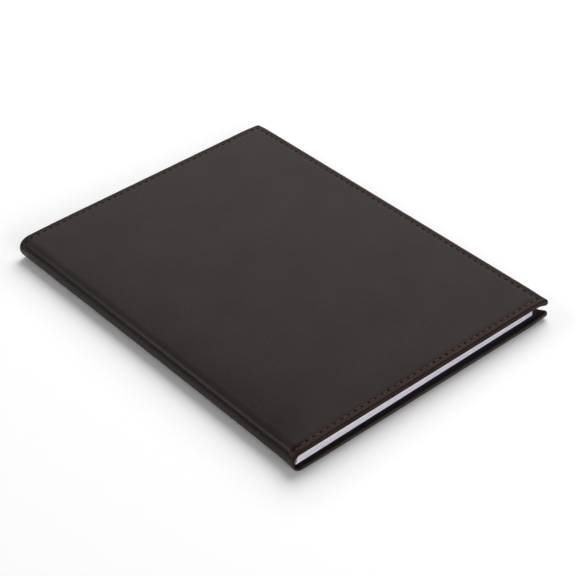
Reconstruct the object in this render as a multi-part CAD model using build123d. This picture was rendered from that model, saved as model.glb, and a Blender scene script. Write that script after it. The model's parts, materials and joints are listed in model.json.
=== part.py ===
from build123d import *
import math
import os

# An address book lying closed on its back cover, in millimetres.
# X runs from the spine to the fore edge, Y from the tail to the head, Z up.
# The origin is the middle of the footprint, on the surface that the book lies on.

# Pages
page_width = 150.0
page_height = 210.0
section_names = ["ab", "cd", "ef", "gh", "ij", "kl", "mn", "op", "qr", "st", "uv", "wz"]
divider_thickness = 0.16
leaves_thickness = 0.30
notes_thickness = 0.44
flyleaf_thickness = 0.15

# Index tabs that stand out past the fore edge of the pages
tab_depth = 3.6
tab_gap = 0.8
tab_corner = 1.4
tab_head_margin = 3.0
tab_tail_margin = 9.0

# Layers of a cover, from the outside in
leather_thickness = 1.1
board_thickness = 0.9
turn_in_thickness = 0.6
pastedown_thickness = 0.25

# Case
head_overhang = 3.5
fore_overhang = 5.8
cover_corner = 3.0
edge_wall = 1.0
edge_round = 0.5
turn_in_width = 15.0
joint_width = 5.0
pastedown_margin = 1.9
board_play = 0.1
infill_play = 0.3

# Spine
spine_lining_thickness = 0.35
spine_cloth_thickness = 0.3
spine_cloth_margin = 8.0
block_play = 1.0
spine_strip_angle = 30.0

# Seam
seam_inset = 3.3
seam_channel_width = 0.9
seam_channel_depth = 0.35
stitch_pitch = 4.1
stitch_gap = 0.9
thread_width = 0.65
thread_height = 0.3

# Heights of the closed book
cover_thickness = leather_thickness + board_thickness + turn_in_thickness
block_bottom = cover_thickness + pastedown_thickness
section_thickness = divider_thickness + leaves_thickness
block_thickness = 2 * (flyleaf_thickness + notes_thickness) + len(section_names) * section_thickness
book_thickness = 2 * block_bottom + block_thickness
mid_height = book_thickness / 2

# The spine is half round, as thick as the book
spine_radius = mid_height
spine_inner_radius = spine_radius - leather_thickness - spine_lining_thickness
spine_hollow = spine_radius - math.sqrt(spine_inner_radius**2 - (block_thickness / 2) ** 2)
block_back = spine_hollow + block_play + spine_cloth_thickness

# Plan of the closed book
cover_width = block_back + page_width + fore_overhang
cover_height = page_height + 2 * head_overhang
half_width = cover_width / 2
half_height = cover_height / 2
flat_start = spine_radius - half_width
board_start = flat_start + joint_width
page_start = block_back - half_width
page_end = page_start + page_width
half_page = page_height / 2
mirror_plane = Plane.XY.offset(mid_height)


def plate(start, end, half_span, bottom, thickness):
    """A flat sheet from start to end along X, centred along Y."""
    corner = Pos(start, -half_span, bottom)
    return corner * Box(end - start, 2 * half_span, thickness, align=Align.MIN)


def rounded_plate(start, end, half_span, bottom, thickness, radius):
    """A flat sheet whose two fore-edge corners are rounded."""
    sheet = plate(start, end, half_span, bottom, thickness)
    corners = sheet.edges().filter_by(Axis.Z).group_by(Axis.X)[-1]
    return fillet(corners, radius)


def spine_arc(inner_radius, outer_radius, first_angle, last_angle, low, high):
    """A curved strip about the spine's centre line, from low to high along Y."""
    centre = (flat_start, mid_height)
    turn = last_angle - first_angle
    outside = CenterArc(centre, outer_radius, first_angle, turn)
    inside = CenterArc(centre, inner_radius, first_angle, turn)
    ends = [Line(outside @ 0, inside @ 0), Line(outside @ 1, inside @ 1)]
    section = Plane.XZ * make_face([outside, inside, *ends])
    return Pos(0, high, 0) * extrude(section, high - low)


# Seam rows: each is the middle of a stitch, its length and its turn about Z

seam_x = half_width - seam_inset
seam_y = half_height - seam_inset


def seam_row(first, last):
    """Stitches in a straight row between two corners of the seam."""
    length = math.dist(first, last)
    count = max(1, round(length / stitch_pitch))
    step = length / count
    angle = math.degrees(math.atan2(last[1] - first[1], last[0] - first[0]))
    row = []
    for number in range(count):
        share = (number + 0.5) / count
        x = first[0] + share * (last[0] - first[0])
        y = first[1] + share * (last[1] - first[1])
        row.append((x, y, step - stitch_gap, angle))
    return row


def seam_places():
    """All stitches of one cover: along the tail, the fore edge and the head."""
    corners = [(flat_start, -seam_y), (seam_x, -seam_y), (seam_x, seam_y), (flat_start, seam_y)]
    places = []
    for first, last in zip(corners, corners[1:]):
        places += seam_row(first, last)
    return places


def seam_stitches(bottom):
    """The thread that shows on one face, as separate round-ended bars."""
    bars = []
    for x, y, length, angle in seam_places():
        bar = extrude(SlotOverall(length, thread_width), thread_height)
        bars += (Pos(x, y, bottom) * Rot(0, 0, angle) * bar).solids()
    return Compound(bars)


def seam_channel(bottom):
    """The groove that the thread is pulled into, open at the spine."""
    reach = seam_channel_width / 2
    outer = plate(flat_start, seam_x + reach, seam_y + reach, bottom, seam_channel_depth)
    inner = plate(flat_start, seam_x - reach, seam_y - reach, bottom, seam_channel_depth)
    return outer - inner


# The back cover: its outer face is at height 0

board_bottom = leather_thickness
turn_in_bottom = board_bottom + board_thickness
inner_channel_bottom = cover_thickness - seam_channel_depth


def cover_leather():
    """Leather turned in round the board at head, fore edge and tail."""
    body = rounded_plate(flat_start, half_width, half_height, 0, cover_thickness, cover_corner)
    faces = body.edges().group_by(Axis.Z)
    rims = [edge for edge in faces[0] + faces[-1] if edge.center().X > flat_start + edge_round]
    body = fillet(rims, edge_round)
    inner_corner = cover_corner - edge_wall
    room_end = half_width - edge_wall
    room_half = half_height - edge_wall
    room_start = board_start - board_play
    body -= rounded_plate(room_start, room_end, room_half, board_bottom, board_thickness, inner_corner)
    window_end = half_width - turn_in_width
    window_half = half_height - turn_in_width
    body -= plate(flat_start, window_end, window_half, turn_in_bottom, turn_in_thickness)
    joint_depth = cover_thickness - leather_thickness
    body -= plate(flat_start, board_start, window_half, leather_thickness, joint_depth)
    body -= seam_channel(0)
    body -= seam_channel(inner_channel_bottom)
    return body


def cover_board():
    """The stiff board inside the leather."""
    end = half_width - edge_wall - board_play
    half_span = half_height - edge_wall - board_play
    radius = cover_corner - edge_wall
    return rounded_plate(board_start, end, half_span, board_bottom, board_thickness, radius)


def cover_infill():
    """Card that fills the inside level between the turn-ins."""
    end = half_width - turn_in_width - infill_play
    half_span = half_height - turn_in_width - infill_play
    return plate(board_start, end, half_span, turn_in_bottom, turn_in_thickness)


def pastedown():
    """The endpaper that is glued over the inside of a cover."""
    end = half_width - pastedown_margin
    half_span = half_height - pastedown_margin
    return plate(flat_start, end, half_span, cover_thickness, pastedown_thickness)


def cover_set():
    """Every piece of the back cover, by name without its side."""
    return {
        "cover_leather": cover_leather(),
        "board": cover_board(),
        "infill": cover_infill(),
        "seam_stitches": seam_stitches(seam_channel_depth - thread_height),
        "inner_stitches": seam_stitches(inner_channel_bottom),
        "pastedown": pastedown(),
    }


# The spine: angles run from 90 at the front cover to 270 at the back cover

front_angle = 90.0
back_angle = 270.0
strip_start = 180.0 - spine_strip_angle / 2
strip_end = 180.0 + spine_strip_angle / 2


def spine_channel(side):
    """The seam's groove across one end of the spine."""
    middle = side * seam_y
    reach = seam_channel_width / 2
    bottom = spine_radius - seam_channel_depth
    return spine_arc(bottom, spine_radius, front_angle, back_angle, middle - reach, middle + reach)


def spine_leather(first_angle, last_angle):
    """A strip of the leather round the spine."""
    inside = spine_radius - leather_thickness
    strip = spine_arc(inside, spine_radius, first_angle, last_angle, -half_height, half_height)
    return strip - spine_channel(-1) - spine_channel(1)


def spine_lining():
    """The thin strip glued inside the spine leather."""
    outside = spine_inner_radius + spine_lining_thickness
    half_span = half_height - spine_cloth_margin
    return spine_arc(spine_inner_radius, outside, front_angle, back_angle, -half_span, half_span)


def spine_stitches():
    """The seam's thread across both ends of the spine."""
    half_turn = back_angle - front_angle
    count = max(1, round(math.radians(half_turn) * spine_radius / stitch_pitch))
    step = half_turn / count
    gap = math.degrees(stitch_gap / spine_radius)
    bottom = spine_radius - seam_channel_depth
    bars = []
    for side in (-1, 1):
        low = side * seam_y - thread_width / 2
        for number in range(count):
            first = front_angle + number * step + gap / 2
            last = first + step - gap
            bar = spine_arc(bottom, bottom + thread_height, first, last, low, low + thread_width)
            bars += bar.solids()
    return Compound(bars)


def spine_cloth():
    """Cloth glued over the back of the pages."""
    half_span = half_page - spine_cloth_margin
    start = page_start - spine_cloth_thickness
    return plate(start, page_start, half_span, block_bottom, block_thickness)


# The pages, from the back cover up

tab_pitch = (page_height - tab_head_margin - tab_tail_margin) / len(section_names)


def page_sheet(bottom, thickness):
    """A sheet, or a bundle of sheets, of the page size."""
    return plate(page_start, page_end, half_page, bottom, thickness)


def index_divider(number, bottom):
    """A page with a tab at its own step down the fore edge."""
    tab_top = half_page - tab_head_margin - number * tab_pitch
    tab_length = tab_pitch - tab_gap
    tab = Pos(page_end, tab_top - tab_length, bottom) * Box(
        tab_depth, tab_length, divider_thickness, align=Align.MIN
    )
    corners = tab.edges().filter_by(Axis.Z).group_by(Axis.X)[-1]
    return page_sheet(bottom, divider_thickness) + fillet(corners, tab_corner)


def page_block():
    """All sheets between the covers, by name."""
    sheets = {}
    level = block_bottom

    def lay(name, thickness):
        nonlocal level
        sheets[name] = page_sheet(level, thickness)
        level += thickness

    lay("back_flyleaf", flyleaf_thickness)
    lay("back_notes_leaves", notes_thickness)
    for number in reversed(range(len(section_names))):
        name = section_names[number]
        lay("leaves_" + name, leaves_thickness)
        sheets["index_divider_" + name] = index_divider(number, level)
        level += divider_thickness
    lay("front_notes_leaves", notes_thickness)
    lay("front_flyleaf", flyleaf_thickness)
    return sheets


def all_nodes():
    """Every piece of the book, by its name."""
    nodes = {}
    for name, piece in cover_set().items():
        nodes["back_" + name] = piece
        nodes["front_" + name] = mirror(piece, about=mirror_plane)
    nodes["front_joint_leather"] = spine_leather(front_angle, strip_start)
    nodes["spine_leather"] = spine_leather(strip_start, strip_end)
    nodes["back_joint_leather"] = spine_leather(strip_end, back_angle)
    nodes["spine_lining"] = spine_lining()
    nodes["spine_seam_stitches"] = spine_stitches()
    nodes["spine_cloth"] = spine_cloth()
    nodes.update(page_block())
    return nodes


os.makedirs("parts", exist_ok=True)
for node_name, node in all_nodes().items():
    export_step(node, f"parts/{node_name}.step")
print(f"cover {cover_width:.2f} x {cover_height:.2f} x {book_thickness:.2f} mm")
print(f"page back at x {page_start:.3f}, flat of the covers starts at x {flat_start:.3f}")
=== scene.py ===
import json
import math
import bmesh
import bpy
import numpy as np
from mathutils import Matrix, Vector


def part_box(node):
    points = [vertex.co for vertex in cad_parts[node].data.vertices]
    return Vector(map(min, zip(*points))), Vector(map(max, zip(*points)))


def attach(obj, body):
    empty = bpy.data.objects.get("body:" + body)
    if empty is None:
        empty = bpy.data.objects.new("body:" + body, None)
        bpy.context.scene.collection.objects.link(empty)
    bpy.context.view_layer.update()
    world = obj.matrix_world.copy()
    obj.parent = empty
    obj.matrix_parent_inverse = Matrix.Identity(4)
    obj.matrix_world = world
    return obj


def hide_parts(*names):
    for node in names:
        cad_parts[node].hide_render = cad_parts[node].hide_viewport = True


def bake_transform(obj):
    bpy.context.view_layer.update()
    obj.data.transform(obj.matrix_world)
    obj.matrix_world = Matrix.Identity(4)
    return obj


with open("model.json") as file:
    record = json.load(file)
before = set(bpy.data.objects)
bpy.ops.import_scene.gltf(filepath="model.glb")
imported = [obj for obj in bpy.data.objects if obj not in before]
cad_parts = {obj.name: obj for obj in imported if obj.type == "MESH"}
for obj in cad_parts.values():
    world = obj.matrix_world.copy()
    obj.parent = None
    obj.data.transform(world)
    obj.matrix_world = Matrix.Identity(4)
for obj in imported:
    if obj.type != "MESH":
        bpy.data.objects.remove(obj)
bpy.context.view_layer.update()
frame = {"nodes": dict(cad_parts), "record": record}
print("frame loaded:", len(frame["nodes"]), "nodes")

mm = 0.001
hair = 0.001 * mm  # places closer than this are the same
random = np.random.default_rng(11)

# Sizes of the closed book, read from the frame
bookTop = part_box("front_cover_leather")[1].z
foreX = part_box("front_cover_leather")[1].x
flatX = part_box("front_cover_leather")[0].x  # here the flat cover turns into the round spine
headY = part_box("front_cover_leather")[1].y
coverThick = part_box("back_cover_leather")[1].z
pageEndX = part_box("front_notes_leaves")[1].x
spineRadius = bookTop / 2
panelLength = foreX - flatX
arcLength = spineRadius * math.pi / 2  # from a cover's flat to the middle of the spine
wrapLength = 2 * (panelLength + arcLength)


# Small helpers

def toLinear(hexText):
    # each sRGB byte goes through the standard curve to linear light
    c = np.array([int(hexText[i:i + 2], 16) for i in (1, 3, 5)]) / 255
    c = np.where(c <= 0.04045, c / 12.92, ((c + 0.055) / 1.055) ** 2.4)
    return (*map(float, c), 1.0)


def smoothStep(x):
    # 0 below 0, 1 above 1 and the cubic 3x^2 - 2x^3 between
    t = np.clip(x, 0, 1)
    return t * t * (3 - 2 * t)


def addNode(tree, kind, sockets=None, **settings):
    # settings are the node's own options; a socket takes a value or another node's output
    node = tree.nodes.new(kind)
    for name, value in settings.items():
        setattr(node, name, value)
    for name, value in (sockets or {}).items():
        if isinstance(value, bpy.types.NodeSocket):
            tree.links.new(value, node.inputs[name])
        else:
            node.inputs[name].default_value = value
    return node


def newMaterial(name):
    # an empty node tree, ready for its nodes; returns the material and the tree
    material = bpy.data.materials.new(name)
    material.use_nodes = True
    material.node_tree.nodes.clear()
    return material, material.node_tree


def finishMaterial(tree, shader):
    # the shader goes to the surface
    addNode(tree, "ShaderNodeOutputMaterial", {"Surface": shader.outputs[0]})


def makeObject(name, points, quads, materials, slots=None, smooth=True, sharpAngle=50):
    # a mesh from an array of points and an array of four corner numbers for each face
    mesh = bpy.data.meshes.new(name)
    count = len(quads)
    mesh.vertices.add(len(points))
    mesh.vertices.foreach_set("co", np.ascontiguousarray(points, np.float32).ravel())
    mesh.loops.add(4 * count)
    mesh.loops.foreach_set("vertex_index", np.ascontiguousarray(quads, np.int32).ravel())
    mesh.polygons.add(count)
    mesh.polygons.foreach_set("loop_start", np.arange(0, 4 * count, 4, dtype=np.int32))
    for material in materials:
        mesh.materials.append(material)
    if slots is not None:
        mesh.polygons.foreach_set("material_index", np.ascontiguousarray(slots, np.int32))
    mesh.update(calc_edges=True)
    mesh.validate()
    mesh.polygons.foreach_set("use_smooth", np.full(count, smooth))
    if smooth:
        mesh.set_sharp_from_angle(angle=math.radians(sharpAngle))
    obj = bpy.data.objects.new(name, mesh)
    bpy.context.scene.collection.objects.link(obj)
    return obj


def setUv(obj, name, uv):
    # uv holds one pair for each point of the mesh, handed on to every corner
    layer = obj.data.uv_layers.new(name=name)
    corners = np.empty(len(obj.data.loops), np.int32)
    obj.data.loops.foreach_get("vertex_index", corners)
    layer.data.foreach_set("uv", np.ascontiguousarray(uv[corners], np.float32).ravel())


def setShare(obj, name, values):
    # a number for each point, which a material can read
    attribute = obj.data.attributes.new(name, "FLOAT", "POINT")
    attribute.data.foreach_set("value", np.ascontiguousarray(values, np.float32))


def gridQuads(rows, columns, first=0, flip=False):
    # faces of a grid of points that is stored row by row
    index = first + np.arange(rows * columns).reshape(rows, columns)
    quads = np.stack([index[:-1, :-1], index[:-1, 1:], index[1:, 1:], index[1:, :-1]], -1).reshape(-1, 4)
    return quads[:, ::-1] if flip else quads


def rimOrder(rows, columns):
    # grid numbers once round the border: first column backwards, first row, last column, last row backwards
    index = np.arange(rows * columns).reshape(rows, columns)
    return np.concatenate([index[:0:-1, 0], index[0, :-1], index[:-1, -1], index[-1, :0:-1]])


def closedSheet(top, bottom, rim=None):
    # two grids of points, one over the other, joined round their border, with rim rows between them if given;
    # the rows of the grids run towards -X and the columns towards +Y
    rows, columns = top.shape[:2]
    size = rows * columns
    order = rimOrder(rows, columns)
    middle = np.zeros((0, len(order), 3)) if rim is None else rim
    points = np.concatenate([top.reshape(-1, 3), bottom.reshape(-1, 3), middle.reshape(-1, 3)])
    between = 2 * size + np.arange(middle.shape[0] * len(order)).reshape(-1, len(order))
    ladder = np.vstack([order[None], between, order[None] + size])
    after = np.roll(ladder, -1, axis=1)
    walls = np.stack([ladder[:-1], ladder[1:], after[1:], after[:-1]], -1).reshape(-1, 4)
    quads = np.concatenate([gridQuads(rows, columns), gridQuads(rows, columns, size, True), walls])
    return points, quads


def joinShells(shells):
    # several pairs of point and face arrays as one pair
    counts = np.cumsum([0] + [len(p) for p, _ in shells[:-1]])
    points = np.concatenate([p for p, _ in shells])
    quads = np.concatenate([q + first for (_, q), first in zip(shells, counts)])
    return points, quads


def cornerMap(a, b, radius):
    # squares of border distances in a corner are drawn in to a quarter disc
    u = np.clip(1 - a / radius, 0, 1)
    v = np.clip(1 - b / radius, 0, 1)
    inside = (a < radius) & (b < radius)
    roundA = np.where(inside, radius * (1 - u * np.sqrt(1 - v * v / 2)), a)
    roundB = np.where(inside, radius * (1 - v * np.sqrt(1 - u * u / 2)), b)
    return roundA, roundB


def bodyOf(node):
    # the body that lists the node in the record
    return next(body for body, nodes in frame["record"]["behaviour"]["bodies"].items() if node in nodes)


# Materials

# the grain is drawn coarser than on real calf, so that it shows at this distance
grainSide = {
    "base": "#201816", "light": "#271f1c", "edge": "#2f1f19", "mottleFrom": 0.1, "mottleTo": 0.4,
    "rough": 0.33, "roughSpread": 0.08, "ior": 1.38, "shine": 0.5, "edgeShine": 0.18,
    "cell": 1.4 * mm, "cellTop": 0.25, "fine": 0.3 * mm, "fineShare": 0.35, "patch": 2.6 * mm, "cloud": 24 * mm,
    "bump": 0.75, "relief": 0.12 * mm,
}
# the turned-in faces take a darker, matt copy of the leather: painted shade under the cover
turnInShade = {**grainSide, "base": "#150f0d", "light": "#1a1311", "edge": "#1c1210", "rough": 0.6,
          "shine": 0.22, "edgeShine": 0.22}
# a lighter, shinier copy of the leather for the back cover's outer edge lobe: a painted highlight
edgeHighlight = {**grainSide, "base": "#3a312b", "light": "#443a33", "edge": "#3a312b",
              "shine": 0.6, "edgeShine": 0.6}


def calfLeather(name, look):
    # drum-dyed calf leather, plated to a fine even grain: nearly black brown, a soft satin sheen, warmer dull
    # edges; a darker, matt copy on the turned-in faces is painted shade, and a lighter, shinier copy on an edge is a
    # painted highlight
    material, tree = newMaterial(name)
    flat = addNode(tree, "ShaderNodeUVMap", uv_map="flatLeather").outputs[0]
    cells = addNode(tree, "ShaderNodeTexVoronoi", {"Vector": flat, "Scale": 1 / look["cell"]},
                    voronoi_dimensions="2D", feature="DISTANCE_TO_EDGE")
    fine = addNode(tree, "ShaderNodeTexNoise", {"Vector": flat, "Scale": 1 / look["fine"], "Detail": 2.0},
                   noise_dimensions="2D")
    patch = addNode(tree, "ShaderNodeTexNoise", {"Vector": flat, "Scale": 1 / look["patch"], "Detail": 3.0},
                    noise_dimensions="2D")
    cloud = addNode(tree, "ShaderNodeTexNoise", {"Vector": flat, "Scale": 1 / look["cloud"], "Detail": 3.0},
                    noise_dimensions="2D")
    height = addNode(tree, "ShaderNodeMath", {0: cells.outputs["Distance"], 1: look["cellTop"]},
                     operation="MINIMUM")
    relief = addNode(tree, "ShaderNodeMath", {0: fine.outputs[0], 1: look["fineShare"], 2: height.outputs[0]},
                     operation="MULTIPLY_ADD")
    bump = addNode(tree, "ShaderNodeBump", {"Height": relief.outputs[0], "Strength": look["bump"],
                   "Distance": look["relief"]})
    mottle = addNode(tree, "ShaderNodeMath", {0: patch.outputs[0], 1: cloud.outputs[0]}, operation="MULTIPLY")
    share = addNode(tree, "ShaderNodeMapRange", {"Value": mottle.outputs[0], "From Min": look["mottleFrom"],
                    "From Max": look["mottleTo"]})
    tone = addNode(tree, "ShaderNodeMix", {"Factor": share.outputs[0], "A": toLinear(look["base"]),
                   "B": toLinear(look["light"])}, data_type="RGBA")
    warm = addNode(tree, "ShaderNodeAttribute", attribute_name="edgeShare").outputs["Fac"]
    colour = addNode(tree, "ShaderNodeMix", {"Factor": warm, "A": tone.outputs["Result"],
                     "B": toLinear(look["edge"])}, data_type="RGBA")
    spread = look["roughSpread"]
    rough = addNode(tree, "ShaderNodeMapRange", {"Value": patch.outputs[0], "To Min": look["rough"] - spread,
                    "To Max": look["rough"] + spread})
    shine = look["shine"]
    if look["edgeShine"] != shine:
        dull = addNode(tree, "ShaderNodeAttribute", attribute_name="dullShare").outputs["Fac"]
        shine = addNode(tree, "ShaderNodeMapRange", {"Value": dull, "To Min": shine,
                        "To Max": look["edgeShine"]}).outputs[0]
    shader = addNode(tree, "ShaderNodeBsdfPrincipled", {"Base Color": colour.outputs["Result"],
                     "Roughness": rough.outputs[0], "IOR": look["ior"], "Specular IOR Level": shine,
                     "Normal": bump.outputs[0]})
    finishMaterial(tree, shader)
    return material


threadLook = {"base": "#674437", "dark": "#432c23", "rough": 0.62, "wobble": 0.4, "bump": 0.5,
              "relief": 0.08 * mm, "innerTwist": 3 * mm}


def bondedThread(name, kind, socket, scale, **settings):
    # bonded polyester thread, twisted from plies: a red brown, with painted shade as darker lines between the plies
    look = threadLook
    material, tree = newMaterial(name)
    along = addNode(tree, kind, **settings).outputs[socket]
    plies = addNode(tree, "ShaderNodeTexWave", {"Vector": along, "Scale": scale, "Distortion": look["wobble"]},
                    wave_type="BANDS", bands_direction="DIAGONAL").outputs["Fac"]
    # darker between the plies: painted shade in the grooves
    colour = addNode(tree, "ShaderNodeMix", {"Factor": plies, "A": toLinear(look["dark"]),
                     "B": toLinear(look["base"])}, data_type="RGBA")
    bump = addNode(tree, "ShaderNodeBump", {"Height": plies, "Strength": look["bump"],
                   "Distance": look["relief"]})
    shader = addNode(tree, "ShaderNodeBsdfPrincipled", {"Base Color": colour.outputs["Result"],
                     "Roughness": look["rough"], "Normal": bump.outputs[0]})
    finishMaterial(tree, shader)
    return material


# the dark of a needle hole, painted on a lens over the leather: painted shade
holeShadeLook = {"base": "#251814", "dark": "#170e0c", "fibre": 0.3 * mm, "rough": 0.95, "shine": 0.05}


def holeShadeLeather():
    # painted shade of a needle hole, on a lens over the leather: almost black with no shine, and a faint fibre noise
    look = holeShadeLook
    material, tree = newMaterial("Needle hole, painted shade")
    place = addNode(tree, "ShaderNodeTexCoord").outputs["Object"]
    fibre = addNode(tree, "ShaderNodeTexNoise", {"Vector": place, "Scale": 1 / look["fibre"]})
    colour = addNode(tree, "ShaderNodeMix", {"Factor": fibre.outputs[0], "A": toLinear(look["dark"]),
                     "B": toLinear(look["base"])}, data_type="RGBA")
    shader = addNode(tree, "ShaderNodeBsdfPrincipled", {"Base Color": colour.outputs["Result"],
                     "Roughness": look["rough"], "Specular IOR Level": look["shine"]})
    finishMaterial(tree, shader)
    return material


paperLook = {"cloud": 6 * mm, "bump": 0.15, "relief": 0.05 * mm}


def mattPaper(name, base, shade, roughness, tooth, shine=0.5):
    # uncoated or printed sheet, calendered: a matt tone with faint cloudy formation and fine tooth
    look = paperLook
    material, tree = newMaterial(name)
    place = addNode(tree, "ShaderNodeTexCoord").outputs["Object"]
    cloud = addNode(tree, "ShaderNodeTexNoise", {"Vector": place, "Scale": 1 / look["cloud"], "Detail": 4.0})
    grit = addNode(tree, "ShaderNodeTexNoise", {"Vector": place, "Scale": 1 / tooth, "Detail": 2.0})
    colour = addNode(tree, "ShaderNodeMix", {"Factor": cloud.outputs[0], "A": toLinear(shade),
                     "B": toLinear(base)}, data_type="RGBA")
    bump = addNode(tree, "ShaderNodeBump", {"Height": grit.outputs[0], "Strength": look["bump"],
                   "Distance": look["relief"]})
    shader = addNode(tree, "ShaderNodeBsdfPrincipled", {"Base Color": colour.outputs["Result"],
                     "Roughness": roughness, "Specular IOR Level": shine, "Normal": bump.outputs[0]})
    finishMaterial(tree, shader)
    return material


ruling = {"paper": "#f3f0f7", "shade": "#ebe8f0", "ink": "#8c93a6", "cloud": 5 * mm, "rough": 0.8,
          "halfLine": 0.11 * mm, "spacing": 7.0 * mm, "margin": 94 * mm, "left": -66 * mm, "right": 68 * mm}


def ruledPaper():
    # uncoated white paper printed with fine feint lines: soft white, the ink stops short of every edge
    material, tree = newMaterial("Uncoated page paper, feint ruled")
    place = addNode(tree, "ShaderNodeTexCoord").outputs["Object"]
    cloud = addNode(tree, "ShaderNodeTexNoise", {"Vector": place, "Scale": 1 / ruling["cloud"], "Detail": 4.0})
    paper = addNode(tree, "ShaderNodeMix", {"Factor": cloud.outputs[0], "A": toLinear(ruling["shade"]),
                    "B": toLinear(ruling["paper"])}, data_type="RGBA")
    axes = addNode(tree, "ShaderNodeSeparateXYZ", {"Vector": place})
    step = addNode(tree, "ShaderNodeMath", {0: axes.outputs["Y"], 1: ruling["spacing"]}, operation="PINGPONG")
    near = addNode(tree, "ShaderNodeMath", {0: step.outputs[0], 1: ruling["halfLine"]}, operation="LESS_THAN")
    wide = addNode(tree, "ShaderNodeMath", {0: axes.outputs["Y"]}, operation="ABSOLUTE")
    inside = addNode(tree, "ShaderNodeMath", {0: wide.outputs[0], 1: ruling["margin"]}, operation="LESS_THAN")
    begun = addNode(tree, "ShaderNodeMath", {0: axes.outputs["X"], 1: ruling["left"]}, operation="GREATER_THAN")
    going = addNode(tree, "ShaderNodeMath", {0: axes.outputs["X"], 1: ruling["right"]}, operation="LESS_THAN")
    ink = near.outputs[0]
    for part in (inside, begun, going):
        ink = addNode(tree, "ShaderNodeMath", {0: ink, 1: part.outputs[0]}, operation="MULTIPLY").outputs[0]
    colour = addNode(tree, "ShaderNodeMix", {"Factor": ink, "A": paper.outputs["Result"],
                     "B": toLinear(ruling["ink"])}, data_type="RGBA")
    shader = addNode(tree, "ShaderNodeBsdfPrincipled", {"Base Color": colour.outputs["Result"],
                     "Roughness": ruling["rough"]})
    finishMaterial(tree, shader)
    return material


clothLook = {"base": "#2c2722", "dark": "#191512", "thread": 2.4 * mm, "rough": 0.85}


def liningCloth():
    # book cloth, woven cotton with a filled back: black brown with a fine thread grid
    look = clothLook
    material, tree = newMaterial("Book cloth, woven cotton")
    place = addNode(tree, "ShaderNodeTexCoord").outputs["Object"]
    warp, weft = (addNode(tree, "ShaderNodeTexWave", {"Vector": place, "Scale": 1 / look["thread"]},
                          bands_direction=axis).outputs["Fac"] for axis in "YZ")
    weave = addNode(tree, "ShaderNodeMath", {0: warp, 1: weft}, operation="MULTIPLY")
    colour = addNode(tree, "ShaderNodeMix", {"Factor": weave.outputs[0], "A": toLinear(look["dark"]),
                     "B": toLinear(look["base"])}, data_type="RGBA")
    shader = addNode(tree, "ShaderNodeBsdfPrincipled", {"Base Color": colour.outputs["Result"],
                     "Roughness": look["rough"]})
    finishMaterial(tree, shader)
    return material


leather = calfLeather("Calf leather, plated fine grain", grainSide)
shadedInnerLeather = calfLeather("Calf leather, turned in, painted shade", turnInShade)
highlightEdgeLeather = calfLeather("Calf leather, painted edge highlight", edgeHighlight)
thread = bondedThread("Bonded polyester thread, twisted", "ShaderNodeUVMap", "UV", 1.0, uv_map="threadTurns")
innerThread = bondedThread("Bonded polyester thread, inside", "ShaderNodeTexCoord", "Object",
                           1 / threadLook["innerTwist"])
pierced = holeShadeLeather()
pagePaper = ruledPaper()
cloth = liningCloth()
endpaper = mattPaper("Dyed endpaper, matt navy", "#201e38", "#18172a", roughness=0.7, tooth=0.5 * mm, shine=0.2)
greyBoard = mattPaper("Grey board, pressed", "#8a8378", "#7a746a", roughness=0.9, tooth=0.8 * mm)
indexCard = mattPaper("Index card, smooth white", "#e6e3ea", "#dedbe3", roughness=0.7, tooth=0.4 * mm)
tabCard = mattPaper("Index card, printed navy", "#272a4a", "#21233e", roughness=0.55, tooth=0.4 * mm)
letterInk = mattPaper("Printing ink, white", "#f0eef2", "#e8e6ea", roughness=0.6, tooth=0.4 * mm)
print("materials made:", len(bpy.data.materials))


# The leather case is laid out flat first: s runs from the fore edge over the cover and round the spine, y from tail
# to head, and lift is the height over the smooth outer face.

leatherCase = {
    # outline and cut edge
    "tailCorner": 1.5 * mm, "headCorner": 2.6 * mm, "edgeRound": 0.45 * mm, "edgeFall": 0.34 * mm,
    "fallWidth": 1.2 * mm, "noseRows": 11, "layerPower": 0.55, "foldLobe": 1.6, "foldPower": 0.7,
    # lines of the grid
    "bandWidth": 6.0 * mm, "fineStep": 0.17 * mm, "jointBand": 12 * mm, "jointStep": 0.6 * mm, "arcLines": 30,
    # stitched channel
    "seamInset": 3.3 * mm, "stitchPitch": 4.1 * mm, "channelDepth": 0.04 * mm, "channelWidth": 0.45 * mm,
    "pullDepth": 0.07 * mm, "pullWidth": 1.7 * mm, "pucker": 0.03 * mm,
    # fall towards the joint
    "dipDepth": 0.75 * mm, "dipFade": 10.0 * mm, "dipArc": 4.5 * mm, "dipTail": 0.5, "dipStiff": 0.7,
    "stiffReach": 12.0 * mm,
    # round of the spine
    "spineBow": 0.4 * mm, "backFull": 0.32 * mm, "tailFlare": 0.8 * mm, "flareReach": 5.0 * mm,
    "pinchDepth": 0.6 * mm, "pinchWidth": 1.0 * mm, "pinchAt": 2.0 * mm, "pinchReach": 3.0 * mm,
    # thickness of the wall: at the turned-in ends, and over the middle
    "spineWall": 1.0 * mm, "thinFrom": 1.0 * mm, "thinOver": 6.0 * mm, "turnedEnd": 4.5 * mm,
    "turnedFade": 2.0 * mm, "midWall": 0.7 * mm, "midFrom": -4.0 * mm, "midOver": 4.0 * mm,
    # fore corners
    "curlReach": 5.5 * mm, "foldThick": 1.1 * mm, "foldReach": 3.0 * mm, "tipOut": 0.55 * mm,
    # where the leather is warmer and duller; over the seam and the back of the round the dullness is painted shade
    "edgeWarm": 0.3, "edgeReach": 4.6 * mm, "edgeFade": 2.2 * mm, "seamShadeAndWarmth": 0.6, "seamReach": 1.2 * mm,
    "rimWarm": 0.5, "rimReach": 1.0 * mm, "spineWarm": 0.25, "dullFrom": 0.5, "dullOver": 0.18,
}
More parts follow.
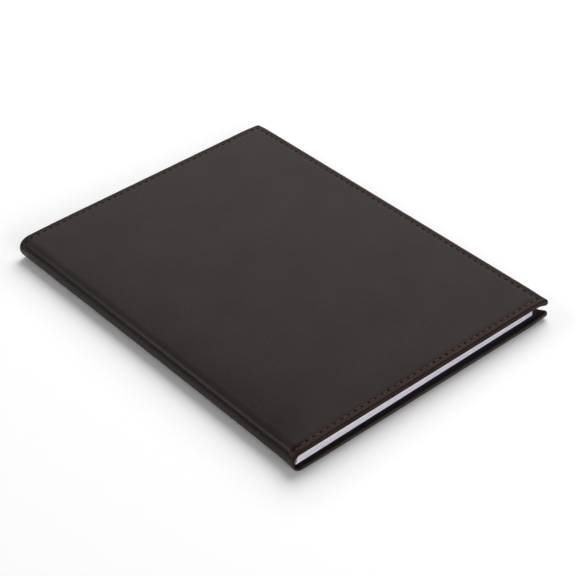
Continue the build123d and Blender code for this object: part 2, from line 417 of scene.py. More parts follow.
# how far the fore corners of each cover lean towards the pages: at the tail and at the head
cornerCurl = {"front": (0.55 * mm, 0.45 * mm), "back": (1.2 * mm, 0.5 * mm)}
noseWarmthAndShade = {"front": 0.75, "back": 0.1}  # how far the cut edges take the edge colour and dullness; the back's small share leaves its edge darker, which is painted shade
seamX = foreX - leatherCase["seamInset"]
seamY = headY - leatherCase["seamInset"]
tailStitches = round((seamX - flatX) / leatherCase["stitchPitch"])
foreStitches = round(2 * seamY / leatherCase["stitchPitch"])
spineStitches = round(2 * arcLength / leatherCase["stitchPitch"])
tailStep = (seamX - flatX) / tailStitches
foreStep = 2 * seamY / foreStitches
spineStep = 2 * arcLength / spineStitches


def onCase(s, y, lift, side):
    # a flat cover, then a quarter round, fuller at the back and at the tail: the point is lifted along the normal
    # of that curve; the corner leans in by a bell of its distance, and at the tail a narrower bell draws it out;
    # the back is the front mirrored at half height
    c = leatherCase
    turn = np.maximum(s - panelLength, 0) / spineRadius
    quarter = np.minimum(turn, np.pi / 2)
    bow = c["spineBow"] * np.sin(quarter) ** 2 * (1 - (y / headY) ** 2)
    full = (c["backFull"] if side == "back" else 0.0) * np.sin(2 * quarter) ** 2
    flare = c["tailFlare"] * np.sin(quarter) ** 2 * np.exp(-((headY + y) / c["flareReach"]) ** 2)
    out = spineRadius + lift + full + flare - bow
    x = foreX - np.minimum(s, panelLength) - out * np.sin(turn)
    fromCorner = s ** 2 + (headY - np.abs(y)) ** 2
    curl = np.where(y < 0, *cornerCurl[side]) * np.exp(-fromCorner / c["curlReach"] ** 2)
    tip = np.where(y < 0, c["tipOut"], 0.0) * np.exp(-fromCorner / c["foldReach"] ** 2)
    z = bookTop - spineRadius + out * np.cos(turn) - curl
    return np.stack([x + tip, y - tip, z if side == "front" else bookTop - z], -1)


def seamWave(s, y):
    # -1 at each needle hole and 1 halfway, counted along the nearer seam
    alongTail = np.cos(2 * np.pi * (s - leatherCase["seamInset"]) / tailStep)
    alongFore = np.cos(2 * np.pi * (y + seamY) / foreStep)
    return -np.where(headY - np.abs(y) < s, alongTail, alongFore)


def jointDip(s, y):
    # the cover falls towards the joint, deeper at the tail but for a bell at the stiff turned-in end: the fall grows
    # as an exponential over the cover and dies away as a bell over the round, with the same slope where they meet
    c = leatherCase
    share = (s - panelLength) / c["dipFade"]
    onRound = (1 + share) * np.exp(-(np.maximum(s - panelLength, 0) / c["dipArc"]) ** 2)
    stiff = c["dipStiff"] * np.exp(-((headY + y) / c["stiffReach"]) ** 2)
    depth = c["dipDepth"] * (1 - c["dipTail"] * y / headY) * (1 - stiff)
    return depth * np.where(share < 0, np.exp(np.minimum(share, 0)), onRound)


def caseLift(s, y):
    # a narrow stitched channel in a wide pull, puckers between holes, a falling edge, a bell-shaped pinch where the
    # seam turns on to the spine at the tail, and the dip at the joint
    c = leatherCase
    d = np.minimum(s, headY - np.abs(y))
    fromSeam = d - c["seamInset"]
    pull = np.exp(-(fromSeam / c["pullWidth"]) ** 4)
    lift = -c["channelDepth"] * np.exp(-(fromSeam / c["channelWidth"]) ** 2)
    lift += pull * (c["pucker"] * seamWave(s, y) - c["pullDepth"])
    lift -= c["edgeFall"] * np.clip(1 - d / c["fallWidth"], 0, 1) ** 2
    atEnd = ((s - panelLength - c["pinchAt"]) / c["pinchReach"]) ** 2 + ((y + seamY) / c["pinchWidth"]) ** 2
    lift -= c["pinchDepth"] * np.exp(-atEnd)
    return lift - jointDip(s, y)


def innerDrop(s, y):
    # how far the inner face lies under the cover's: a smooth step down to leather and lining, on the round at the
    # turned-in head and tail, and before it everywhere else, which leaves room for the joint to bend
    c = leatherCase
    turned = smoothStep((c["turnedEnd"] - (headY - np.abs(y))) / c["turnedFade"])
    first = c["midFrom"] + (c["thinFrom"] - c["midFrom"]) * turned
    over = c["midOver"] + (c["thinOver"] - c["midOver"]) * turned
    wall = c["midWall"] + (c["spineWall"] - c["midWall"]) * turned
    return (coverThick - wall - jointDip(s, y)) * smoothStep((s - panelLength - first) / over)


def caseWall(s, y):
    # the thinned cover, and a bell more at the tail corners, where the leather is folded over twice
    c = leatherCase
    fold = c["foldThick"] * np.exp(-(s ** 2 + (headY + y) ** 2) / c["foldReach"] ** 2)
    return coverThick - innerDrop(s, y) + fold


def caseLines():
    # distances across and along: close together in the seam band and at the joint, two to a stitch over the cover,
    # and closer towards the back of the round by a sine
    c = leatherCase
    fine = np.arange(c["edgeRound"], c["bandWidth"], c["fineStep"])
    tail = c["seamInset"] + np.arange(2 * tailStitches + 1) * tailStep / 2
    jointFrom = panelLength - c["jointBand"]
    cover = tail[(tail > c["bandWidth"] + c["fineStep"]) & (tail < jointFrom - c["jointStep"])]
    joint = np.arange(jointFrom, panelLength, c["jointStep"])
    arc = panelLength + arcLength * np.sin(np.linspace(0, np.pi / 2, c["arcLines"]))
    fore = -seamY + np.arange(2 * foreStitches + 1) * foreStep / 2
    middle = fore[np.abs(fore) < headY - c["bandWidth"] - c["fineStep"]]
    along = np.concatenate([-headY + fine, middle, (headY - fine)[::-1]])
    return np.concatenate([fine, cover, joint, arc]), along


def caseHalf(side):
    # outer and inner faces of one cover with its half of the spine, and an edge round three sides: two half-sine
    # lobes for its two layers, which merge into one where the tail corner is folded; warm and dull are bells over
    # the seam and the rim and a step over the edge, and dull has a step over the back of the round too; the seam's
    # bell and the round's step are painted shade
    c = leatherCase
    s, y = np.meshgrid(*caseLines(), indexing="ij")
    radius = np.where(y < 0, c["tailCorner"], c["headCorner"])
    a, b = cornerMap(s, headY - np.abs(y), radius)
    flatY = np.sign(y) * (headY - b)
    order = rimOrder(*s.shape)
    outS = -np.clip(1 - s / radius, 0, 1)
    outY = np.sign(y) * np.clip(1 - (headY - np.abs(y)) / radius, 0, 1)
    length = np.maximum(np.hypot(outS, outY), hair)
    outS, outY = (v.ravel()[order] for v in (outS / length, outY / length))
    outerLift, innerLift = caseLift(a, flatY), -caseWall(a, flatY)
    rimS, rimY, rimTop, rimBottom = (v.ravel()[order] for v in (a, flatY, outerLift, innerLift))
    share = np.linspace(0, 1, c["noseRows"] + 2)[1:-1, None]
    atTip = np.exp(-(rimS ** 2 + (headY + rimY) ** 2) / c["foldReach"] ** 2)
    layered = np.abs(np.sin(2 * np.pi * share)) ** c["layerPower"]
    folded = c["foldLobe"] * np.sin(np.pi * share) ** c["foldPower"]
    lobe = c["edgeRound"] * (layered + (folded - layered) * atTip)
    nose = onCase(rimS + lobe * outS, rimY + lobe * outY, rimTop + share * (rimBottom - rimTop), side)
    outer, inner = (onCase(a, flatY, lift, side) for lift in (outerLift, innerLift))
    points, quads = closedSheet(outer, inner, nose)
    flatS, alongY = (np.concatenate([v.ravel(), v.ravel(), np.tile(v.ravel()[order], c["noseRows"])])
                     for v in (a, flatY))
    fromEdge = np.minimum(flatS, headY - np.abs(alongY))
    fromSeam = fromEdge - c["seamInset"]
    warm = c["edgeWarm"] * smoothStep((c["edgeReach"] - fromEdge) / c["edgeFade"])
    # warmer and duller over the seam, which darkens it: painted shade of the stitches and holes
    warm += c["seamShadeAndWarmth"] * np.exp(-(fromSeam / c["seamReach"]) ** 2)
    warm += c["rimWarm"] * np.exp(-(fromEdge / c["rimReach"]) ** 2)
    # the back of the round is duller: its lower shine is painted shade on the spine's lower side
    onSpine = smoothStep(((flatS - panelLength) / arcLength - c["dullFrom"]) / c["dullOver"])
    dull = np.minimum(np.maximum(warm, onSpine), 1.0)
    warm = np.minimum(np.maximum(warm, c["spineWarm"] * onSpine), 1.0)
    # each cut edge takes its side's share; the back's small share darkens it, painted shade
    warm[2 * s.size:] = dull[2 * s.size:] = noseWarmthAndShade[side]
    isInner = np.all((quads >= s.size) & (quads < 2 * s.size), axis=1)
    lined = isInner & (flatS[quads].min(1) > panelLength + c["thinFrom"])
    slots = np.where(lined, 2, isInner)  # 0 outside, 1 turned in with painted shade, 2 lined spine, 3 edge with a painted highlight
    # the outer lobe of the back's cut edge is lighter and shinier: a painted highlight
    outerLobe = 2 * s.size + (c["noseRows"] // 2 + 1) * len(order)
    if side == "back":
        slots[np.all((quads >= 2 * s.size) & (quads < outerLobe), axis=1)] = 3
    return points, quads, np.stack([flatS, alongY], -1), warm, dull, slots


def crossJoint(obj):
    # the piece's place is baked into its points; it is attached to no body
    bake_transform(obj)


def makeCase(side):
    # one half of the case; the back is mirrored, so its faces turn round and its grain runs on from the front's
    points, quads, flat, warm, dull, slots = caseHalf(side)
    turned = quads if side == "front" else quads[:, ::-1]
    obj = makeObject(side + "_leather", points, turned, [leather, shadedInnerLeather, cloth, highlightEdgeLeather], slots)
    if side == "back":
        flat = np.array([wrapLength, 0]) + flat * np.array([-1, 1])
    setUv(obj, "flatLeather", flat)
    setShare(obj, "edgeShare", warm)
    setShare(obj, "dullShare", dull)
    crossJoint(obj)
    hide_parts(side + "_cover_leather", side + "_joint_leather",
                "spine_leather" if side == "front" else "spine_lining")
    print(side, "leather:", len(points), "points")


makeCase("front")
makeCase("back")


# The seam: each stitch is a short twisted bar that dives into a hole at both ends

seam = {"threadRadius": 0.33 * mm, "ride": -0.15 * mm, "dive": 0.22 * mm, "shortBy": 0.17, "rings": 9, "sides": 6,
        "turns": 3.0, "endTaper": 0.5, "flatness": 0.85, "uneven": 0.05 * mm, "holeLong": 0.62 * mm,
        "holeWide": 0.56 * mm, "holeHeight": 0.03 * mm, "holeRide": 0.03 * mm, "holeUneven": 0.22,
        "holeLevels": (-0.98, -0.6, 0.0, 0.6, 0.98)}


def seamRows(side):
    # holes in rows between the corners of the seam, from the spine's tail end round to its head end;
    # the stitch over the middle of the spine goes with the front half
    c = leatherCase["seamInset"]
    tailS = c + np.arange(tailStitches, -1, -1) * tailStep
    foreY = -seamY + np.arange(foreStitches + 1) * foreStep
    spineCount = spineStitches // 2 + (2 if side == "front" else 1)
    spineS = panelLength + np.arange(spineCount)[::-1] * spineStep
    tail = np.stack([tailS, np.full(len(tailS), -seamY)], -1)
    spine = np.stack([spineS, np.full(len(spineS), -seamY)], -1)
    fore = np.stack([np.full(len(foreY), c), foreY], -1)
    mirror = np.array([1, -1])
    return [spine, tail, fore, tail[::-1] * mirror, spine[::-1] * mirror]


def threadPoints(starts, ends, side):
    # a tube along each stitch: its middle line dives with the fourth power of the distance from halfway, its
    # thickness shrinks with the sixth, and each tube is pulled in and aside by a small amount of its own
    t = np.linspace(seam["shortBy"], 1 - seam["shortBy"], seam["rings"])
    half = np.linspace(-1, 1, seam["rings"])
    around = np.arange(seam["sides"]) * 2 * np.pi / seam["sides"]
    middle = starts[:, None] + t[None, :, None] * (ends - starts)[:, None]
    across = (ends - starts)[:, ::-1] * np.array([-1, 1])
    across = across / np.linalg.norm(across, axis=1, keepdims=True)
    thick = seam["threadRadius"] * (1 - seam["endTaper"] * np.abs(half) ** 6)
    sink, aside = seam["uneven"] * random.uniform(-1, 1, (2, len(starts), 1, 1))
    flat = middle[:, :, None, :] + (thick[:, None] * np.cos(around) + aside)[..., None] * across[:, None, None, :]
    dive = (seam["ride"] - seam["dive"] * half ** 4)[:, None]
    lift = dive + seam["flatness"] * thick[:, None] * np.sin(around) + sink
    ground = caseLift(middle[..., 0], middle[..., 1])[:, :, None]
    points = onCase(flat[..., 0], flat[..., 1], ground + lift, side)
    turns = np.stack(np.broadcast_arrays(t[:, None] * seam["turns"], around[None] / (2 * np.pi)), -1)
    return points.reshape(-1, 3), np.tile(turns.reshape(-1, 2), (len(starts), 1))


def tubeQuads(count, rings, sides):
    # faces of many alike closed tubes with six sides; each end is a cap of two faces
    ring = np.arange(sides)
    step = np.stack([ring, (ring + 1) % sides, (ring + 1) % sides + sides, ring + sides], -1)
    wall = (np.arange(rings - 1)[:, None, None] * sides + step[None]).reshape(-1, 4)
    cap = np.array([[0, 3, 2, 1], [0, 5, 4, 3]])
    one = np.concatenate([wall, cap, (rings - 1) * sides + cap[:, ::-1]])
    return (np.arange(count)[:, None, None] * rings * sides + one[None]).reshape(-1, 4)


def holePoints(holes, side):
    # a flat lens at each hole, which carries the hole's painted shade, longest along the seam: rings of a sphere
    # squeezed to the hole's three sizes, and made a little larger or smaller by chance
    level = np.array(seam["holeLevels"])
    around = np.arange(seam["sides"]) * 2 * np.pi / seam["sides"]
    wide = np.sqrt(1 - level ** 2)[:, None]
    alongFore = np.abs(holes[:, 0] - leatherCase["seamInset"]) < hair
    sizes = np.where(alongFore[:, None], [[seam["holeWide"], seam["holeLong"]]],
                     [[seam["holeLong"], seam["holeWide"]]])
    sizes = sizes * (1 + seam["holeUneven"] * random.uniform(-1, 1, (len(holes), 1)))
    ring = np.stack([wide * np.cos(around), wide * np.sin(around)], -1)
    flat = holes[:, None, None, :] + sizes[:, None, None, :] * ring
    ground = caseLift(holes[:, 0], holes[:, 1])[:, None, None]
    lift = ground + seam["holeRide"] + seam["holeHeight"] * level[None, :, None]
    return onCase(flat[..., 0], flat[..., 1], np.broadcast_to(lift, flat.shape[:-1]), side).reshape(-1, 3)


def makeSeam(side):
    # the stitches and needle holes of one half; the tubes come out inside out on the front, so they are turned
    rows = seamRows(side)
    starts = np.concatenate([row[:-1] for row in rows])
    ends = np.concatenate([row[1:] for row in rows])
    holes = np.unique(np.round(np.concatenate([starts, ends]), 7), axis=0)
    order = slice(None, None, -1) if side == "front" else slice(None)
    points, turns = threadPoints(starts, ends, side)
    quads = tubeQuads(len(starts), seam["rings"], seam["sides"])[:, order]
    pitQuads = tubeQuads(len(holes), len(seam["holeLevels"]), seam["sides"])[:, order]
    stitches = makeObject(side + "_thread", points, quads, [thread])
    setUv(stitches, "threadTurns", turns)
    pits = makeObject(side + "_needle_holes", holePoints(holes, side), pitQuads, [pierced])
    crossJoint(stitches)
    crossJoint(pits)
    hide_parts(side + "_seam_stitches", "spine_seam_stitches")
    print(side, "seam:", len(starts), "stitches,", len(holes), "holes")


makeSeam("front")
makeSeam("back")


# The pages

pageStack = {"sheet": 0.1 * mm, "fill": 0.86, "edgeJitter": 0.14 * mm, "skew": 0.007, "tailShift": 0.38 * mm,
             "backSlant": 0.42, "rows": 8, "columns": 12}


def blockBack(x, z):
    # the back of the pages leans through its middle, where the leaves turn
    return x - pageStack["backSlant"] * (bookTop / 2 - z)


def paperSheet(low, high, jitter):
    # a thin closed slab whose size varies a little; the whole sheet is sheared by the block's skew
    p = pageStack
    x, y = np.meshgrid(np.linspace(high[0], low[0], p["rows"]), np.linspace(low[1], high[1], p["columns"]),
                       indexing="ij")
    grow = random.uniform(-1, 1, 2) * jitter
    x = x + grow[0] * (x - low[0]) / (high[0] - low[0])
    y = y + grow[1] * y / high[1] + p["skew"] * x - p["tailShift"]
    return closedSheet(np.stack([x, y, np.full_like(x, high[2])], -1), np.stack([x, y, np.full_like(x, low[2])], -1))


def bundleSheets(node, endX):
    # the node's thickness is shared out among single sheets with a little air over each
    low, high = (np.array(corner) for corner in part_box(node))
    high[0] = endX
    count = max(1, round((high[2] - low[2]) / pageStack["sheet"]))
    step = (high[2] - low[2]) / count
    backX, bottom = low[0], low[2]
    shells = []
    for number in range(count):
        low[2] = bottom + number * step
        high[2] = low[2] + step * pageStack["fill"]
        low[0] = blockBack(backX, low[2])
        shells.append(paperSheet(low, high, pageStack["edgeJitter"]))
    return joinShells(shells)


def settle(obj, node):
    # the piece stands in for a node and moves with that node's body
    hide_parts(node)
    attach(obj, bodyOf(node))


def makePages():
    # a bundle of single sheets for each node of leaves and for the two flyleaves
    bundles = sorted(n for n in frame["nodes"] if n.startswith("leaves_") or n.endswith("notes_leaves"))
    for node in bundles:
        obj = makeObject(node + "_sheets", *bundleSheets(node, pageEndX), [pagePaper], smooth=False)
        settle(obj, node)
    for node in ("front_flyleaf", "back_flyleaf"):
        obj = makeObject(node + "_sheet", *bundleSheets(node, pageEndX), [endpaper], smooth=False)
        settle(obj, node)
    print("page bundles:", len(bundles))


makePages()


# Index dividers with tabs that step down the fore edge

indexTab = {"corner": 1.4 * mm, "hold": 2.0 * mm, "skin": 0.01 * mm, "past": 0.2 * mm, "cardShare": 0.9,
            "lines": 9, "letter": 2.6 * mm, "leading": 3.3 * mm, "letterSteps": 3}
tabLetters = {"ab": "AB", "cd": "CD", "ef": "EF", "gh": "GH", "ij": "IJ", "kl": "KL", "mn": "MN", "op": "OP",
              "qr": "QR", "st": "ST", "uv": "UV", "wz": "WXYZ"}


def tabSpan(node):
    # the part of the node's own points that lies past the pages: lowest and highest y, and the end in x
    points = np.empty(3 * len(node.data.vertices), np.float32)
    node.data.vertices.foreach_get("co", points)
    points = points.reshape(-1, 3)
    past = points[points[:, 0] > pageEndX + indexTab["past"]]
    return past[:, 1].min(), past[:, 1].max(), past[:, 0].max()


def tabPlate(lowY, highY, endX, bottom, top):
    # a small plate that begins on the card, with its two outer corners drawn in to quarter discs
    t = indexTab
    near = t["corner"] * np.linspace(0, 1, t["lines"])
    a = np.append(near, endX - pageEndX + t["hold"])
    b = np.concatenate([near, (highY - lowY - near)[::-1]])
    a, b = np.meshgrid(a, b, indexing="ij")
    half = (highY - lowY) / 2
    roundA, fromEnd = cornerMap(a, half - np.abs(b - half), t["corner"])
    y = lowY + half + np.sign(b - half) * (half - fromEnd)
    x = endX - roundA
    y = y + pageStack["skew"] * x - pageStack["tailShift"]
    return closedSheet(np.stack([x, y, np.full_like(x, top)], -1), np.stack([x, y, np.full_like(x, bottom)], -1))


def letterMesh(text):
    # the letters as one raised mesh about its own middle, one letter to a line; its faces and sides are welded
    curve = bpy.data.curves.new("letters", "FONT")
    curve.body = "\n".join(text)
    curve.size = indexTab["letter"]
    curve.space_line = indexTab["leading"] / indexTab["letter"]
    curve.align_x = "CENTER"
    curve.align_y = "CENTER"
    curve.extrude = indexTab["skin"]
    curve.resolution_u = indexTab["letterSteps"]
    holder = bpy.data.objects.new("letters", curve)
    bpy.context.scene.collection.objects.link(holder)
    mesh = bpy.data.meshes.new_from_object(holder.evaluated_get(bpy.context.evaluated_depsgraph_get()))
    bpy.data.objects.remove(holder)
    bpy.data.curves.remove(curve)
    weld = bmesh.new()
    weld.from_mesh(mesh)
    bmesh.ops.remove_doubles(weld, verts=weld.verts, dist=indexTab["skin"] / 10)
    bmesh.ops.recalc_face_normals(weld, faces=weld.faces)
    weld.to_mesh(mesh)
    weld.free()
    return mesh


def makeLetters(key, body, middle, levels):
    # the same letters on both faces of the tab; the lower ones are turned over about the tab's length
    for face, level in levels.items():
        mesh = letterMesh(tabLetters[key])
        turn = Matrix.Rotation(math.pi, 4, "Y") if face == "under" else Matrix.Identity(4)
        mesh.transform(Matrix.Translation((middle[0], middle[1], level)) @ turn)
        mesh.materials.clear()
        mesh.materials.append(letterInk)
        obj = bpy.data.objects.new("tab_letters_" + key + "_" + face, mesh)
        bpy.context.scene.collection.objects.link(obj)
        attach(obj, body)


def makeDividers():
    # a card of page size, a printed tab that sleeves its edge, and the letters
    share = indexTab["cardShare"]
    for key in tabLetters:
        node = "index_divider_" + key
        low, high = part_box(node)
        lowY, highY, endX = tabSpan(frame["nodes"][node])
        card = paperSheet(np.array([blockBack(low.x, low.z), low.y, low.z]),
                          np.array([pageEndX, high.y, low.z + share * (high.z - low.z)]), 0.0)
        obj = makeObject(node + "_card", *card, [indexCard], smooth=False)
        settle(obj, node)
        bottom, top = low.z + indexTab["skin"], high.z - 2 * indexTab["skin"]
        tab = makeObject(node + "_tab", *tabPlate(lowY, highY, endX, bottom, top), [tabCard], smooth=False)
        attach(tab, bodyOf(node))
        middleX = (pageEndX + endX) / 2
        middle = (middleX, (lowY + highY) / 2 + pageStack["skew"] * middleX - pageStack["tailShift"])
        makeLetters(key, bodyOf(node), middle, {"over": top, "under": bottom})
    print("index dividers:", len(tabLetters))


makeDividers()


# Endpapers on the covers, and the cloth on the back of the pages

lining = {"margin": 1.9 * mm, "foreMargin": 3.4 * mm, "corner": 1.0 * mm, "drape": 6.0 * mm, "endReach": 6.0 * mm,
          "cornerLines": 9, "drapeLines": 9, "levelLines": 11, "endLines": 8, "longLines": 9}


def makePastedown(side):
    # the node's sheet, brought closer to the edge of the cover, with rounded fore corners; it leans with the cover's
    # corner and drapes into the joint
    p = lining
    node = side + "_pastedown"
    low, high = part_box(node)
    endX, endY = foreX - p["foreMargin"], headY - p["margin"]
    near = p["corner"] * np.linspace(0, 1, p["cornerLines"])
    joint = endX - flatX - p["drape"] * np.linspace(1, 0, p["drapeLines"])
    level = np.linspace(2 * p["corner"], joint[0], p["levelLines"])[:-1]
    end = np.linspace(2 * p["corner"], p["endReach"], p["endLines"])
    a = np.concatenate([near, level, joint])
    b = np.concatenate([near, end, np.linspace(0, endY, p["longLines"])[2:]])
    y = np.concatenate([-endY + b, (endY - b[:-1])[::-1]])
    a, y = np.meshgrid(a, y, indexing="ij")
    roundA, fromEnd = cornerMap(a, endY - np.abs(y), p["corner"])
    y = np.sign(y) * (endY - fromEnd)
    x = endX - roundA
    lean = np.where(y < 0, *cornerCurl[side]) * np.exp(
        -((foreX - x) ** 2 + (headY - np.abs(y)) ** 2) / leatherCase["curlReach"] ** 2)
    lean = lean - innerDrop(foreX - x, y)
    lean = lean if side == "back" else -lean
    sheet = closedSheet(np.stack([x, y, high.z + lean], -1), np.stack([x, y, low.z + lean], -1))
    obj = makeObject(node + "_sheet", *sheet, [endpaper], smooth=False)
    settle(obj, node)


spineCloth = {"rows": 14, "columns": 24, "bendFrom": 0.3, "bendTo": 0.7}


def makeSpineCloth():
    # a strip on the back of the pages, slanted as they are
    low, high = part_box("spine_cloth")
    z, y = np.meshgrid(np.linspace(low.z, high.z, spineCloth["rows"]),
                       np.linspace(low.y, high.y, spineCloth["columns"]), indexing="ij")
    outer = np.stack([blockBack(low.x, z), y - pageStack["tailShift"], z], -1)
    inner = outer + np.array([high.x - low.x, 0, 0])
    points, quads = closedSheet(outer, inner)
    obj = makeObject("spine_cloth_strip", points, quads[:, ::-1], [cloth])
    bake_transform(obj)
    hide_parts("spine_cloth")


makePastedown("front")
makePastedown("back")
makeSpineCloth()
for node in frame["nodes"].values():
    hidden = innerThread if "inner_stitches" in node.name else greyBoard
    if node.name.endswith(("_board", "_infill", "_inner_stitches")):
        node.data.materials.clear()
        node.data.materials.append(hidden)
print("endpapers, cloth and boards dressed")


# Floor, light and camera

studio = {
    # glowNear to glowFar: a dimmer floor glow close to the book, a painted shadow round it
    "floor": "#fafafa", "floorRough": 0.9, "floorSize": 6.0, "glowNear": 0.05, "glowFar": 0.12,
    "glowFrom": 10 * mm, "glowTo": 30 * mm, "whiteFrom": 0.35, "whiteTo": 1.2,
    "window": 1.5, "windowTurn": 85, "windowTop": 0.55, "fallOff": 9.0, "lowDim": 0.2, "lowFrom": 0.28,
    "lowTo": 0.44, "backDim": 0.1, "backFrom": 0.15, "backTo": 0.5, "sideDim": 0.55, "sideFrom": 0.3, "sideTo": 0.75,
}
# each lamp: turn off +Y towards +X and rise over the floor in degrees, distance and size in metres, watts,
# and whether it shows in reflections
lamps = {"key softbox": (66, 54, 1.6, 1.4, 24.0, False), "left softbox": (-54, 35, 1.0, 0.4, 0.75, True),
         "head softbox": (4, 44, 1.5, 0.5, 0.35, True), "front fill": (190, 15, 1.6, 0.8, 13.5, False)}


def whiteFloor():
    # painted floor, matt white: it keeps the soft shadow, a faint glow that grows with the distance from the book's
    # outline takes it to white for the eye and in reflections, so its dimmer glow near the book paints a soft shadow
    # round it, and far off it runs into the white behind
    material, tree = newMaterial("Painted floor, matt white")
    path = addNode(tree, "ShaderNodeLightPath").outputs
    seen = addNode(tree, "ShaderNodeMath", {0: path["Is Camera Ray"], 1: path["Is Glossy Ray"]},
                   operation="MAXIMUM")
    through = addNode(tree, "ShaderNodeMath", {0: seen.outputs[0], 1: path["Is Transmission Ray"]},
                      operation="MAXIMUM")
    place = addNode(tree, "ShaderNodeTexCoord")
    folded = addNode(tree, "ShaderNodeVectorMath", {0: place.outputs["Object"]}, operation="ABSOLUTE")
    past = addNode(tree, "ShaderNodeVectorMath", {0: folded.outputs[0], 1: (foreX, headY, 0)},
                   operation="SUBTRACT")
    outside = addNode(tree, "ShaderNodeVectorMath", {0: past.outputs[0], 1: (0, 0, 0)}, operation="MAXIMUM")
    reach = addNode(tree, "ShaderNodeVectorMath", {0: outside.outputs[0]}, operation="LENGTH")
    # the glow is dimmest at the book's outline: a painted shadow round the book
    level = addNode(tree, "ShaderNodeMapRange", {"Value": reach.outputs["Value"], "From Min": studio["glowFrom"],
                    "From Max": studio["glowTo"], "To Min": studio["glowNear"], "To Max": studio["glowFar"]},
                    interpolation_type="SMOOTHSTEP")
    near = addNode(tree, "ShaderNodeMath", {0: through.outputs[0], 1: level.outputs[0]}, operation="MULTIPLY")
    far = addNode(tree, "ShaderNodeMapRange", {"Value": reach.outputs["Value"], "From Min": studio["whiteFrom"],
                  "From Max": studio["whiteTo"]}, interpolation_type="SMOOTHSTEP")
    glow = addNode(tree, "ShaderNodeMath", {0: far.outputs[0], 1: path["Is Camera Ray"], 2: near.outputs[0]},
                   operation="MULTIPLY_ADD")
    shader = addNode(tree, "ShaderNodeBsdfPrincipled", {"Base Color": toLinear(studio["floor"]),
                     "Roughness": studio["floorRough"], "Specular IOR Level": 0.0,
                     "Emission Color": (1, 1, 1, 1), "Emission Strength": glow.outputs[0]})
    finishMaterial(tree, shader)
    return material


def makeFloor():
    # one square in the plane that the book lies on
    half = studio["floorSize"] / 2
    corners = np.array([[-half, -half, 0], [half, -half, 0], [half, half, 0], [-half, half, 0]])
    floor = makeObject("floor", corners, np.array([[0, 1, 2, 3]]), [whiteFloor()], smooth=False)


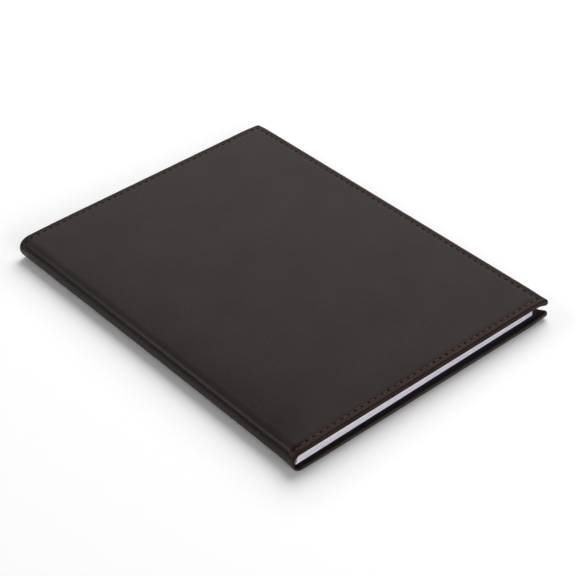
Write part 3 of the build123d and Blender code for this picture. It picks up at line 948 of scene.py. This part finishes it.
def makeWorld():
    # light from a wide window: even up to its top, an exponential fall over it, dim under its sill, weaker on its
    # left and dim at the back of the room; the camera itself sees plain white
    world = bpy.data.worlds.new("Studio")
    bpy.context.scene.world = world
    world.use_nodes = True
    tree = world.node_tree
    tree.nodes.clear()
    place = addNode(tree, "ShaderNodeTexCoord")
    axes = addNode(tree, "ShaderNodeSeparateXYZ", {"Vector": place.outputs["Generated"]})
    drop = addNode(tree, "ShaderNodeMath", {0: axes.outputs["Z"], 1: -studio["fallOff"],
                   2: studio["fallOff"] * studio["windowTop"]}, operation="MULTIPLY_ADD")
    fading = addNode(tree, "ShaderNodeMath", {0: drop.outputs[0]}, operation="EXPONENT")
    height = addNode(tree, "ShaderNodeMath", {0: fading.outputs[0], 1: 1.0}, operation="MINIMUM")
    turn = math.radians(studio["windowTurn"])
    facing = addNode(tree, "ShaderNodeVectorMath", {0: place.outputs["Generated"],
                     1: (math.sin(turn), math.cos(turn), 0)}, operation="DOT_PRODUCT")
    side = addNode(tree, "ShaderNodeMapRange", {"Value": facing.outputs["Value"], "From Min": studio["sideFrom"],
                   "From Max": studio["sideTo"], "To Min": studio["sideDim"] * studio["window"],
                   "To Max": studio["window"]}, interpolation_type="SMOOTHSTEP")
    low = addNode(tree, "ShaderNodeMapRange", {"Value": axes.outputs["Z"], "From Min": studio["lowFrom"],
                  "From Max": studio["lowTo"], "To Min": studio["lowDim"]}, interpolation_type="SMOOTHSTEP")
    back = addNode(tree, "ShaderNodeMapRange", {"Value": axes.outputs["Y"], "From Min": studio["backFrom"],
                   "From Max": studio["backTo"], "To Min": studio["backDim"]}, interpolation_type="SMOOTHSTEP")
    strength = side
    for part in (height, low, back):
        strength = addNode(tree, "ShaderNodeMath", {0: strength.outputs[0], 1: part.outputs[0]},
                           operation="MULTIPLY")
    path = addNode(tree, "ShaderNodeLightPath").outputs
    shown = addNode(tree, "ShaderNodeMath", {0: strength.outputs[0], 1: path["Is Camera Ray"]},
                    operation="MAXIMUM")
    light = addNode(tree, "ShaderNodeBackground", {"Color": (1, 1, 1, 1), "Strength": shown.outputs[0]})
    addNode(tree, "ShaderNodeOutputWorld", {"Surface": light.outputs[0]})


def softBox(name, turn, rise, far, size, power, shows):
    # a round lamp aimed at the book, placed by its two angles and its distance
    lamp = bpy.data.lights.new(name, "AREA")
    lamp.shape = "DISK"
    lamp.size = size
    lamp.energy = power
    turn, rise = math.radians(turn), math.radians(rise)
    place = far * Vector((math.sin(turn) * math.cos(rise), math.cos(turn) * math.cos(rise), math.sin(rise)))
    obj = bpy.data.objects.new(name, lamp)
    obj.location = place
    obj.rotation_euler = (-place).to_track_quat("-Z", "Y").to_euler()
    obj.visible_glossy = shows
    bpy.context.scene.collection.objects.link(obj)


# Measured from the cover's outline: a long lens, turned about the book and a little out of level
photoView = {"yaw": 38.862, "pitch": 37.767, "roll": -2.626, "distance": 833.59 * mm, "focal": 1668.8,
             "aim": (4.606 * mm, -4.795 * mm, 0.0), "frame": 576, "sensor": 36.0, "nearest": 0.01}


def makeCamera():
    # the look direction from yaw and pitch, then a roll about it; the lens from the focal length in pixels
    yaw, pitch, roll = (math.radians(photoView[k]) for k in ("yaw", "pitch", "roll"))
    look = Vector((math.sin(yaw) * math.cos(pitch), math.cos(yaw) * math.cos(pitch), -math.sin(pitch)))
    level = Vector((math.cos(yaw), -math.sin(yaw), 0))
    right = math.cos(roll) * level + math.sin(roll) * level.cross(look)
    data = bpy.data.cameras.new("photo camera")
    data.sensor_width = photoView["sensor"]
    data.lens = photoView["focal"] / photoView["frame"] * data.sensor_width
    data.clip_start = photoView["nearest"]
    camera = bpy.data.objects.new("photo camera", data)
    turn = Matrix((right, right.cross(look), -look)).transposed().to_4x4()
    camera.matrix_world = Matrix.Translation(Vector(photoView["aim"]) - look * photoView["distance"]) @ turn
    bpy.context.scene.collection.objects.link(camera)
    bpy.context.scene.camera = camera


makeFloor()
makeWorld()
for lampName, lampPlace in lamps.items():
    softBox(lampName, *lampPlace)
makeCamera()
bpy.context.scene.view_settings.view_transform = "Standard"
print("floor, light and camera set")
